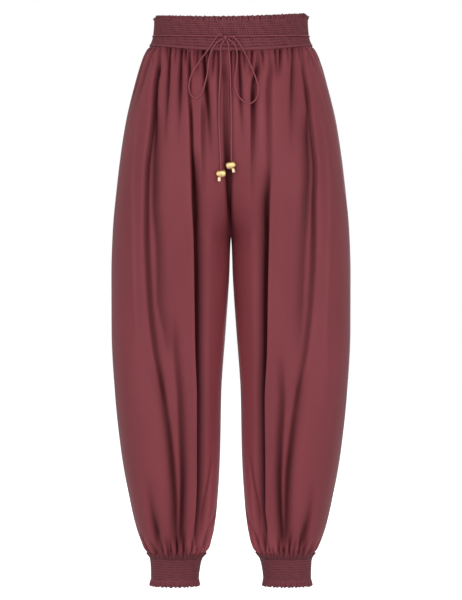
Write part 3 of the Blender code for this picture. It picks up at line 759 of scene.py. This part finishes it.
def finish_piece(piece, material, node):
    piece.data.materials.clear()
    piece.data.materials.append(material)
    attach(piece, "root")
    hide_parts(node)


def set_inputs(tree, node, inputs):
    """Links each named input to a socket or sets it to a plain value."""
    for name, value in inputs.items():
        if isinstance(value, bpy.types.NodeSocket):
            tree.links.new(value, node.inputs[name])
        else:
            node.inputs[name].default_value = value
    return node


def add_node(tree, kind, inputs):
    return set_inputs(tree, tree.nodes.new(kind), inputs)


def new_material(name, inputs):
    material = bpy.data.materials.new(name)
    material.use_nodes = True
    tree = material.node_tree
    return material, tree, set_inputs(tree, tree.nodes["Principled BSDF"], inputs)


def add_noise(tree, source, stretch, scale, detail=2.0):
    """Noise over object or UV coordinates, which are stretched along the axes."""
    place = tree.nodes.new("ShaderNodeTexCoord").outputs[source]
    mapping = add_node(tree, "ShaderNodeMapping", {"Vector": place, "Scale": stretch})
    inputs = {"Vector": mapping.outputs["Vector"], "Scale": scale, "Detail": detail}
    return add_node(tree, "ShaderNodeTexNoise", inputs).outputs["Fac"]


def map_range(tree, value, low, high, to_low, to_high):
    inputs = {"Value": value, "From Min": low, "From Max": high, "To Min": to_low, "To Max": to_high}
    return add_node(tree, "ShaderNodeMapRange", inputs).outputs["Result"]


def mix_colours(tree, factor, first, second):
    """A colour mix; each colour is a socket or a plain colour."""
    mix = tree.nodes.new("ShaderNodeMix")
    mix.data_type = "RGBA"
    tree.links.new(factor, mix.inputs["Factor"])
    for name, colour in (("A", first), ("B", second)):
        socket = next(i for i in mix.inputs if i.name == name and i.type == "RGBA")
        if isinstance(colour, bpy.types.NodeSocket):
            tree.links.new(colour, socket)
        else:
            socket.default_value = (*colour, 1)
    return next(o for o in mix.outputs if o.type == "RGBA")


def add_bump(tree, height, strength):
    inputs = {"Height": height, "Strength": strength, "Distance": 0.0002}
    return add_node(tree, "ShaderNodeBump", inputs).outputs["Normal"]


def speckled(tree, noise, low, high, most, colour, darkness):
    """A colour that is darker where the noise is high."""
    share = map_range(tree, noise, low, high, 0.0, most)
    return mix_colours(tree, share, colour, tuple(darkness * value for value in colour))


def satin_material(name, colour, painted_shade_colour, painted_shade_range, roughness):
    """Satin with painted shade in its folds and painted light on crests, seams and inner legs, and a fine
    weave, faint cloudiness and a soft sheen.
    """
    material, tree, shader = new_material(name, {
        **SATIN_TINTS, "Specular IOR Level": 0.24, "Sheen Weight": 0.03, "Sheen Roughness": 0.35})
    painted_shade = tree.nodes.new("ShaderNodeAttribute")
    painted_shade.attribute_name = "painted_shade"
    # Painted light and shade: where each point lies between the lit colour and the painted shade colour.
    depth = map_range(tree, painted_shade.outputs["Fac"], painted_shade_range[0] * MM, painted_shade_range[1] * MM, 0.0, 1.0)
    clouds = map_range(tree, add_noise(tree, "Object", (1, 1, 0.3), 16), 0.3, 0.7, 0.0, 0.14)
    lit = mix_colours(tree, clouds, colour, painted_shade_colour)
    weave = add_noise(tree, "UV", (1.0, 0.35, 1.0), 1400, 1.0)
    set_inputs(tree, shader, {
        "Base Color": mix_colours(tree, depth, lit, painted_shade_colour),
        "Roughness": map_range(tree, weave, 0.3, 0.7, roughness - 0.04, roughness + 0.05),
        "Normal": add_bump(tree, weave, 0.12),
    })
    return material


def cord_material(colour):
    material, tree, shader = new_material("drawstring_satin", {
        **SATIN_TINTS, "Roughness": 0.42, "Specular IOR Level": 0.25, "Sheen Weight": 0.04})
    grain = add_noise(tree, "Object", (1, 1, 1), 700)
    set_inputs(tree, shader, {
        "Base Color": speckled(tree, grain, 0.3, 0.7, 0.5, colour, 0.6),
        "Normal": add_bump(tree, grain, 0.2),
    })
    return material


def metal_material(name, colour, roughness):
    material, tree, shader = new_material(name, {"Metallic": 1.0})
    smudge = add_noise(tree, "Object", (1, 1, 1), 260)
    set_inputs(tree, shader, {
        "Base Color": speckled(tree, smudge, 0.35, 0.65, 0.2, colour, 0.88),
        "Roughness": map_range(tree, smudge, 0.3, 0.7, roughness * 0.9, roughness * 1.15),
    })
    return material


def smocked(zone, level, waver):
    """The nearest stitch line at a level and how low the cloth lies between the puffed ribs."""
    pitch = (zone.top - zone.bottom) / zone.ribs
    row = np.clip((zone.top - level / MM) / pitch + ROW_WAVER * waver, 0, zone.ribs)
    return np.round(row), 1 - np.abs(np.sin(math.pi * row)) ** 0.7


def stitched(low, pucker, patch, rib, look):
    """Lift and painted shade of smocked cloth, from its ribs, the puckers across them and its patches."""
    lift = -rib * low * patch + pucker * (look.rib_pucker + look.line_pucker * low) * MM - STITCH_SINK
    painted_dark = (look.rib_dark + look.line_dark * low ** 1.3) * (0.8 - look.pucker_dark * pucker) * patch
    return lift, painted_dark * MM


def waist_smocking(zone, level, run, rib, seed):
    line, low = smocked(zone, level, ripple(run / (WAIST_WAVES.waver * MM), seed + 5))
    drift = ripple(run / (WAIST_WAVES.drift * MM), seed + line * 1.9)
    pucker = np.sin(FULL_TURN * run / (WAIST_WAVES.pucker * MM) + 2.6 * drift + line * 2.4)
    patch = 0.8 + 0.35 * ripple(run / (WAIST_WAVES.patch * MM), seed + line * 0.7)
    return stitched(low, pucker, patch, rib, WAIST_STITCHING)


def band_ring(sections, level, angles, lift):
    """Points round a band at one level, about its own middle."""
    half_width, depth, dip = (read(sections, column, level) for column in ("half_width", "depth", "dip"))
    return ring_points(level, angles, half_width, depth, 0.0, lift, dip, half_width)


def band_rows(sections, angles, levels, row_shape):
    """Points and painted shade values of a band that faces out, from each row's lift, edge and painted
    shade.
    """
    points = np.zeros((len(levels), len(angles), 3))
    folds = np.zeros((len(levels), len(angles)))
    for number, level in enumerate(levels):
        lift, edge, folds[number] = row_shape(level)
        ring = band_ring(sections, level, angles, lift)
        ring[:, 0] += read(sections, "middle", level)
        ring[:, 2] += edge
        points[number] = ring
    return points[:, ::-1], folds[:, ::-1]


def frill_wave(run, seed, pitch):
    return ripple(run / pitch, seed) + 0.35 * np.sin(FULL_TURN * run / (pitch * 0.47) + seed)


def side_frill_drop(angles, share):
    """The frill's top edge sinks at the side seams and lies a little lower on the right."""
    across = np.cos(angles)
    at_sides = smooth_step((np.abs(across) - 0.94) / 0.06)
    return (FRILL_TILT * across - FRILL_SIDE_DROP * at_sides) * share


def waistband_rows(start, end, columns, rows, rib):
    angles = np.linspace(start, end, columns)
    run = angles * WAIST_RADIUS
    frill_from = WAIST_SMOCKING[0].top * MM

    def frill(level):
        share = (level - frill_from) / FRILL_HEIGHT
        patch = 0.8 + 0.4 * ripple(run / (WAIST_WAVES.frill_patch * MM), 3.1)
        wave = frill_wave(run, 0.9, FRILL_PITCH) * patch
        lift = (0.3 + 1.5 * share) * MM * wave * smooth_step(share * 3) + 0.4 * MM * share
        edge = 0.7 * ripple(run / (WAIST_WAVES.frill_edge * MM), 2.2) + 0.45 * wave
        edge = edge * MM * share ** 2
        edge += side_frill_drop(angles, share)
        # Painted shade in the hollows of the frill's waves.
        painted_dark = np.maximum(0.0, 0.35 - wave) * 1.1 * MM * smooth_step(share * 3)
        return lift - 0.5 * MM * (1 - share), edge, painted_dark

    def tape(level):
        share = (level / MM - WAIST_TAPE.bottom) / (WAIST_TAPE.top - WAIST_TAPE.bottom)
        crown = math.sin(math.pi * min(1.0, max(0.0, share)))
        edge = 0.6 * MM * ripple(run / (WAIST_WAVES.tape_edge * MM), 1.7) * (1 - share) ** 2
        # Painted shade at the tape's edges, where its crown falls away.
        return (0.9 * crown - 0.2) * MM, edge, 0.9 * MM * (1 - crown) ** 2

    def row_shape(level):
        if level > frill_from:
            return frill(level)
        for zone in WAIST_SMOCKING:
            if zone.bottom <= level / MM <= zone.top:
                lift, painted_dark = waist_smocking(zone, level, run, rib, 0.4)
                # Painted shade along the stitch lines, weaker where the band turns to the sides.
                return lift, 0.0, painted_dark * (1 - 0.3 * smooth_step((np.abs(np.cos(angles)) - 0.8) / 0.2))
        if level > WAIST_SMOCKING[1].top * MM:
            # Painted shade in the groove under the drawstring.
            return -CORD_GROOVE * MM, 0.0, 1.0 * MM
        return tape(level)

    levels = np.linspace(WAIST_TAPE.bottom - 0.3, WAIST_SECTIONS[0].level, rows) * MM
    return band_rows(WAIST_SECTIONS, angles, levels, row_shape)


def cuff_rows(columns, rows, rib, seed):
    angles = np.linspace(0, FULL_TURN, columns)
    turns = angles / FULL_TURN
    wave = cuff_wave(turns, CUFF_WAVES.frill, seed)
    zone = CUFF_SMOCKING
    top = CUFF_SECTIONS[0].level
    bottom = CUFF_SECTIONS[-1].level

    def row_shape(level):
        if level > zone.top * MM:
            share = (level / MM - zone.top) / (top - zone.top)
            lift = (1.6 * share * wave + 0.8 * share - 0.3) * MM
            edge = 1.7 * MM * cuff_wave(turns, CUFF_WAVES.lip_edge, seed + 2) * share
            # Painted shade in the hollows of the lip's waves and at its foot.
            return lift, edge, (np.maximum(0.0, 0.3 - wave) * share + 0.7 * (1 - share)) * MM
        if level < zone.bottom * MM:
            share = (zone.bottom - level / MM) / (zone.bottom - bottom)
            lift = (0.2 + 1.4 * share) * MM * wave * smooth_step(share * 3)
            edge = -1.3 * MM * cuff_wave(turns, CUFF_WAVES.hem_edge, seed + 1) * share ** 2
            # Painted shade in the hollows of the hem's waves.
            return lift - 0.4 * MM * (1 - share), edge, np.maximum(0.0, 0.1 - wave) * 0.8 * MM * share
        line, low = smocked(zone, level, cuff_wave(turns, CUFF_WAVES.waver, seed + 3))
        pucker = cuff_wave(turns, CUFF_WAVES.pucker, seed + line * 1.7)
        patch = 0.8 + 0.2 * cuff_wave(turns, CUFF_WAVES.patch, seed + line)
        # Painted shade along the cuff's stitch lines and in its puckers.
        lift, painted_dark = stitched(low, pucker, patch, rib, CUFF_STITCHING)
        return lift, 0.0, painted_dark

    return band_rows(CUFF_SECTIONS, angles, np.linspace(bottom, top, rows) * MM, row_shape)


def cuff_wave(turns, count, seed):
    """An irregular wave that closes on itself after one turn."""
    wave = np.sin(FULL_TURN * (count * turns) + seed + 1.5 * np.sin(FULL_TURN * 3 * turns + seed))
    wave = wave + 0.5 * np.sin(FULL_TURN * round(count * 0.55) * turns + 2.1 * seed)
    wave = wave + 0.35 * np.sin(FULL_TURN * round(count * 1.7) * turns + 3.7 * seed)
    return wave / 1.6


def cloth_front(x, z):
    """How far the front reaches forward at a place."""
    seam = LEG_SECTIONS[0].level * MM - FRONT_DIP
    if z > seam:
        half_width = read(WAIST_SECTIONS, "half_width", z)
        return read(WAIST_SECTIONS, "depth", z) * math.sqrt(1 - (x / half_width) ** 2)
    middle, half_width, depth = leg_oval(z, True)
    share = (abs(x) - middle) / half_width
    return depth * math.sqrt(1 - share * share)


def smooth_path(points, spacing):
    """Evenly spaced points on a smooth curve through the given ones."""
    ends = [2 * points[0] - points[1]] + list(points) + [2 * points[-1] - points[-2]]
    fine = []
    steps = 24
    for n in range(1, len(ends) - 2):
        before, start, end, after = ends[n - 1:n + 3]
        for step in range(steps):
            t = step / steps
            fine.append(0.5 * (2 * start + (end - before) * t
                               + (2 * before - 5 * start + 4 * end - after) * t ** 2
                               + (3 * start - 3 * end + after - before) * t ** 3))
    fine.append(points[-1])
    length = sum((b - a).length for a, b in zip(fine, fine[1:]))
    count = round(length / spacing)
    path = [fine[0]]
    run = 0.0
    for a, b in zip(fine, fine[1:]):
        step = (b - a).length
        while len(path) < count and run + step >= length * len(path) / count:
            path.append(a.lerp(b, (length * len(path) / count - run) / step))
        run += step
    path.append(fine[-1])
    return path, length


def knot_middle(diameter):
    x = KNOT_MIDDLE[0] * MM
    z = KNOT_MIDDLE[1] * MM
    depth = cloth_front(x, z) - CORD_GROOVE * MM + CORD_CLEAR + diameter + SEAM_GAP + KNOT_HALF[1] * MM
    return Vector((x, -depth, z))


def knot_exit(degrees, diameter):
    turn = math.radians(degrees)
    across = KNOT_HALF[0] * MM + SEAM_GAP + 0.1 * MM
    up = KNOT_HALF[2] * MM + SEAM_GAP + 0.1 * MM
    return knot_middle(diameter) + Vector((across * math.cos(turn), 0, up * math.sin(turn)))


def lay_on_front(stops, diameter):
    points = []
    for stop in stops:
        x = stop.x * MM
        z = stop.z * MM
        depth = cloth_front(x, z) + stop.off * MM + diameter / 2 + CORD_CLEAR
        points.append(Vector((x, -depth, z)))
    return points


def add_cord_curve(name, path, diameter, closed=False):
    curve = bpy.data.curves.new(name, "CURVE")
    curve.dimensions = "3D"
    curve.bevel_depth = diameter / 2
    curve.bevel_resolution = 4
    curve.use_fill_caps = not closed
    spline = curve.splines.new("POLY")
    spline.points.add(len(path) - 1)
    for point, place in zip(spline.points, path):
        point.co = (*place, 1)
    spline.use_cyclic_u = closed
    spline.use_smooth = True
    piece = bpy.data.objects.new(name, curve)
    bpy.context.scene.collection.objects.link(piece)
    return piece


class TROUSERS_OT_legs(bpy.types.Operator):
    """Adds the four gathered leg panels"""
    bl_idname = "trousers.legs"
    bl_label = "Add legs"

    def execute(self, context):
        cloth = context.scene.trousers_cloth
        material = satin_material("satin_leg", cloth.colour, cloth.painted_shade_colour, LEG_PAINTED_SHADE_RANGE,
                                  LEG_ROUGHNESS)
        for face, columns in LEG_COLUMNS.items():
            for side in ("left", "right"):
                points, folds = panel_rows(side, face == "front", columns, LEG_ROWS)
                piece = add_grid(f"satin_leg_{face}_{side}", points, folds, *LEG_CLOTH)
                give_thickness(piece, cloth.wall)
                finish_piece(piece, material, f"leg_{face}_{side}")
        return {"FINISHED"}


class TROUSERS_OT_waistband(bpy.types.Operator):
    """Adds the smocked waistband with its frill and seam tape"""
    bl_idname = "trousers.waistband"
    bl_label = "Add waistband"

    def execute(self, context):
        cloth = context.scene.trousers_cloth
        colours = (cloth.band_colour, cloth.band_painted_shade_colour)
        material = satin_material("satin_smocked_waist", *colours, BAND_PAINTED_SHADE_RANGE, BAND_ROUGHNESS)
        seam = SIDE_SEAM_FORWARD
        halves = (
            ("front", seam, math.pi - seam, (0.62, 0.062)),
            ("back", math.pi - seam, FULL_TURN + seam, (0.98, 0.062)),
        )
        for face, start, end, flat in halves:
            points, folds = waistband_rows(start, end, *BAND_GRID, cloth.rib)
            piece = add_grid(f"satin_waistband_{face}", points, folds, *flat)
            give_thickness(piece, cloth.band_wall)
            finish_piece(piece, material, f"waistband_{face}")
        return {"FINISHED"}


class TROUSERS_OT_cuffs(bpy.types.Operator):
    """Adds the two smocked cuffs"""
    bl_idname = "trousers.cuffs"
    bl_label = "Add cuffs"

    def execute(self, context):
        cloth = context.scene.trousers_cloth
        colours = (cloth.band_colour, cloth.band_painted_shade_colour)
        material = satin_material("satin_smocked_cuff", *colours, BAND_PAINTED_SHADE_RANGE, BAND_ROUGHNESS)
        for side, direction, seed in (("left", 1, 0.7), ("right", -1, 4.1)):
            points, folds = cuff_rows(*CUFF_GRID, cloth.rib * CUFF_RIB_SHARE, seed)
            points[..., 0] *= direction
            if direction < 0:
                points = points[:, ::-1]
                folds = folds[:, ::-1]
            piece = add_grid(f"satin_cuff_{side}", points, folds, *CUFF_CLOTH)
            close_ring(piece)
            give_thickness(piece, cloth.band_wall)
            finish_piece(piece, material, f"cuff_{side}")
        return {"FINISHED"}


class TROUSERS_OT_drawstring(bpy.types.Operator):
    """Adds the drawstring, its bow and the beads on its ends"""
    bl_idname = "trousers.drawstring"
    bl_label = "Add drawstring"

    def execute(self, context):
        cord = context.scene.trousers_cord
        material = cord_material(cord.colour)
        diameter = cord.diameter
        turns = np.linspace(0, FULL_TURN, RING_STEPS, endpoint=False)
        lift = CORD_CLEAR + diameter / 2 - CORD_GROOVE * MM
        ring = band_ring(WAIST_SECTIONS, 0.0, turns, lift)
        piece = add_cord_curve("cord_round_waist", ring, diameter, True)
        finish_piece(piece, material, "drawstring_waist")

        knot = add_knot(diameter)
        finish_piece(knot, material, "drawstring_knot")

        for side, stops, out, back in BOW_LOOPS:
            points = [knot_exit(out, diameter), *lay_on_front(stops, diameter), knot_exit(back, diameter)]
            piece, path, length = add_strand(f"bow_loop_{side}", points, diameter, material)
        for (side, stops, out), bead in zip(BOW_ENDS, BEADS):
            points = [knot_exit(out, diameter), *lay_on_front(stops, diameter)]
            piece, path, length = add_strand(f"end_{side}", points, diameter, material)
            fittings = add_bead(bead, path[-1].y, context.scene.trousers_beads)
            if bead.side == "right":
                fittings.append(knot)
        return {"FINISHED"}


def add_strand(name, points, diameter, material):
    """One strand of the bow on a smooth path through its points."""
    path, length = smooth_path(points, PATH_SPACING)
    piece = add_cord_curve(f"cord_{name}", path, diameter)
    node = name if name.startswith("bow") else f"drawstring_{name}"
    finish_piece(piece, material, node)
    return piece, path, length


def add_knot(diameter):
    """The bow's knot: a strand wrapped twice round the others."""
    middle = knot_middle(diameter)
    path = []
    for turn in np.linspace(0, FULL_TURN, KNOT_STEPS, endpoint=False):
        x = (2.0 * math.sin(turn) + 0.9 * math.sin(2 * turn)) * MM
        y = -1.4 * math.cos(3 * turn) * MM
        z = (1.9 * math.cos(turn) - 1.1 * math.cos(2 * turn)) * MM
        path.append(middle + Vector((x, y, z)))
    return add_cord_curve("cord_knot", path, diameter, True)


def squared(point, power):
    """A point of the unit sphere moved out to a rounder-cornered, boxier shape."""
    size = sum(abs(part) ** power for part in point) ** (1 / power)
    return point / size


def add_sphere(name, grid, centre, tilt, shape):
    """A sphere primitive whose points are moved by shape, then tilted about the centre."""
    bpy.ops.mesh.primitive_uv_sphere_add(segments=grid[0], ring_count=grid[1], radius=1, location=(0, 0, 0))
    piece = bpy.context.object
    piece.name = name
    for vertex in piece.data.vertices:
        spot = Vector(shape(vertex.co))
        spot.rotate(Matrix.Rotation(tilt, 3, "Y"))
        vertex.co = centre + spot
    piece.data.update()
    select_only(piece)
    bpy.ops.object.shade_smooth()
    return piece


def add_bead(bead, depth, colours):
    """A polished pebble with a short rounded peg under one end."""
    half = Vector(BEAD_HALF) * MM
    peg_x = bead.peg_x * MM
    lean = 1 if peg_x > 0 else -1
    top = -half.z * (1 - abs(peg_x / half.x) ** BEAD_SQUARE) ** (1 / BEAD_SQUARE) + PEG_SINK

    def pebble_shape(point):
        x, y, z = squared(point, BEAD_SQUARE)
        swell = 1 - BEAD_TAPER * x * lean
        dent = BEAD_DENT * max(0.0, z) * math.exp(-(x / BEAD_DENT_HALF) ** 2)
        return x * half.x, y * half.y * swell, z * half.z * swell - dent

    def peg_shape(point):
        flat = math.hypot(point.x, point.y)
        size = (flat ** PEG_SQUARE + abs(point.z) ** PEG_SQUARE) ** (1 / PEG_SQUARE)
        x, y, z = point / size
        radius = PEG_RADIUS * (0.97 - 0.03 * z)
        return x * radius + peg_x, y * radius, top + (z - 1) * PEG_LENGTH / 2

    centre = Vector((bead.x * MM, depth, bead.z * MM))
    tilt = math.radians(-bead.tilt)
    pebble = add_sphere(f"bead_pebble_{bead.side}", PEBBLE_GRID, centre, tilt, pebble_shape)
    gold = metal_material(f"bead_gold_{bead.side}", colours.gold, 0.36)
    finish_piece(pebble, gold, f"bead_{bead.side}")
    peg = add_sphere(f"bead_peg_round_{bead.side}", PEG_GRID, centre, tilt, peg_shape)
    pale = metal_material(f"peg_gold_{bead.side}", colours.pale_gold, 0.34)
    finish_piece(peg, pale, f"bead_peg_{bead.side}")
    return [pebble, peg]


class TROUSERS_OT_stage(bpy.types.Operator):
    """Adds the pale floor, the soft lights and the camera"""
    bl_idname = "trousers.stage"
    bl_label = "Add stage"

    def execute(self, context):
        stage = context.scene.trousers_stage
        scene = context.scene
        scene.view_settings.view_transform = "Standard"
        world = bpy.data.worlds.new("studio_white")
        world.use_nodes = True
        background = world.node_tree.nodes["Background"]
        seen = camera_only(world.node_tree, stage.ambient, 1.0)
        set_inputs(world.node_tree, background, {"Color": (1, 1, 1, 1), "Strength": seen})
        scene.world = world
        add_backdrop(stage.floor)
        for name, place, size, power, colour in LIGHTS:
            add_light(name, Vector(place), size, power, colour, Vector((0, 0, stage.height)))
        camera = bpy.data.cameras.new("camera_front")
        camera.lens = CAMERA_LENS
        item = bpy.data.objects.new("camera_front", camera)
        item.location = (0, -stage.distance, stage.height)
        item.rotation_euler = (math.radians(90), 0, 0)
        scene.collection.objects.link(item)
        scene.camera = item
        return {"FINISHED"}


def camera_only(tree, otherwise, seen):
    """A strength that differs between what the camera sees and what lights the garment."""
    path = tree.nodes.new("ShaderNodeLightPath")
    return map_range(tree, path.outputs["Is Camera Ray"], 0, 1, otherwise, seen)


def add_light(name, place, size, power, colour, target):
    data = bpy.data.lights.new(name, "AREA")
    data.color = colour
    data.shape = "SQUARE"
    data.size = size
    data.energy = power
    item = bpy.data.objects.new(name, data)
    item.location = place
    item.rotation_euler = (target - place).to_track_quat("-Z", "Y").to_euler()
    bpy.context.scene.collection.objects.link(item)


def add_backdrop(floor):
    """A pale floor all round, far below and behind the garment."""
    bpy.ops.mesh.primitive_plane_add(size=FLOOR_SIZE, location=(0, 0, floor))
    piece = bpy.context.object
    piece.name = "stage_floor"
    material, tree, shader = new_material("stage_white", {
        "Roughness": 0.9, "Base Color": (0.94, 0.94, 0.94, 1), "Emission Color": (1, 1, 1, 1)})
    set_inputs(tree, shader, {"Emission Strength": camera_only(tree, 0.0, 0.8)})
    piece.data.materials.append(material)


class TROUSERS_PT_panel(bpy.types.Panel):
    """Lists the trousers' pieces and sizes"""
    bl_idname = "TROUSERS_PT_panel"
    bl_label = "Trousers"
    bl_space_type = "VIEW_3D"
    bl_region_type = "UI"
    bl_category = "Trousers"

    def draw(self, context):
        layout = self.layout
        for group in ("trousers_cloth", "trousers_cord", "trousers_beads", "trousers_stage"):
            values = getattr(context.scene, group)
            for name in values.__annotations__:
                layout.prop(values, name)
        for operator in OPERATORS:
            layout.operator(operator.bl_idname)


OPERATORS = (
    TROUSERS_OT_stage,
    TROUSERS_OT_drawstring,
    TROUSERS_OT_legs,
    TROUSERS_OT_waistband,
    TROUSERS_OT_cuffs,
)
GROUPS = (
    ("trousers_cloth", TrousersCloth),
    ("trousers_cord", TrousersCord),
    ("trousers_beads", TrousersBeads),
    ("trousers_stage", TrousersStage),
)


def register():
    for name, group in GROUPS:
        bpy.utils.register_class(group)
        setattr(bpy.types.Scene, name, bpy.props.PointerProperty(type=group))
    for operator in OPERATORS:
        bpy.utils.register_class(operator)
    bpy.utils.register_class(TROUSERS_PT_panel)


def unregister():
    bpy.utils.unregister_class(TROUSERS_PT_panel)
    for operator in reversed(OPERATORS):
        bpy.utils.unregister_class(operator)
    for name, group in reversed(GROUPS):
        delattr(bpy.types.Scene, name)
        bpy.utils.unregister_class(group)


def main():
    register()
    bpy.ops.trousers.stage()
    bpy.ops.trousers.drawstring()
    bpy.ops.trousers.legs()
    bpy.ops.trousers.waistband()
    bpy.ops.trousers.cuffs()


if __name__ == "__main__":
    main()
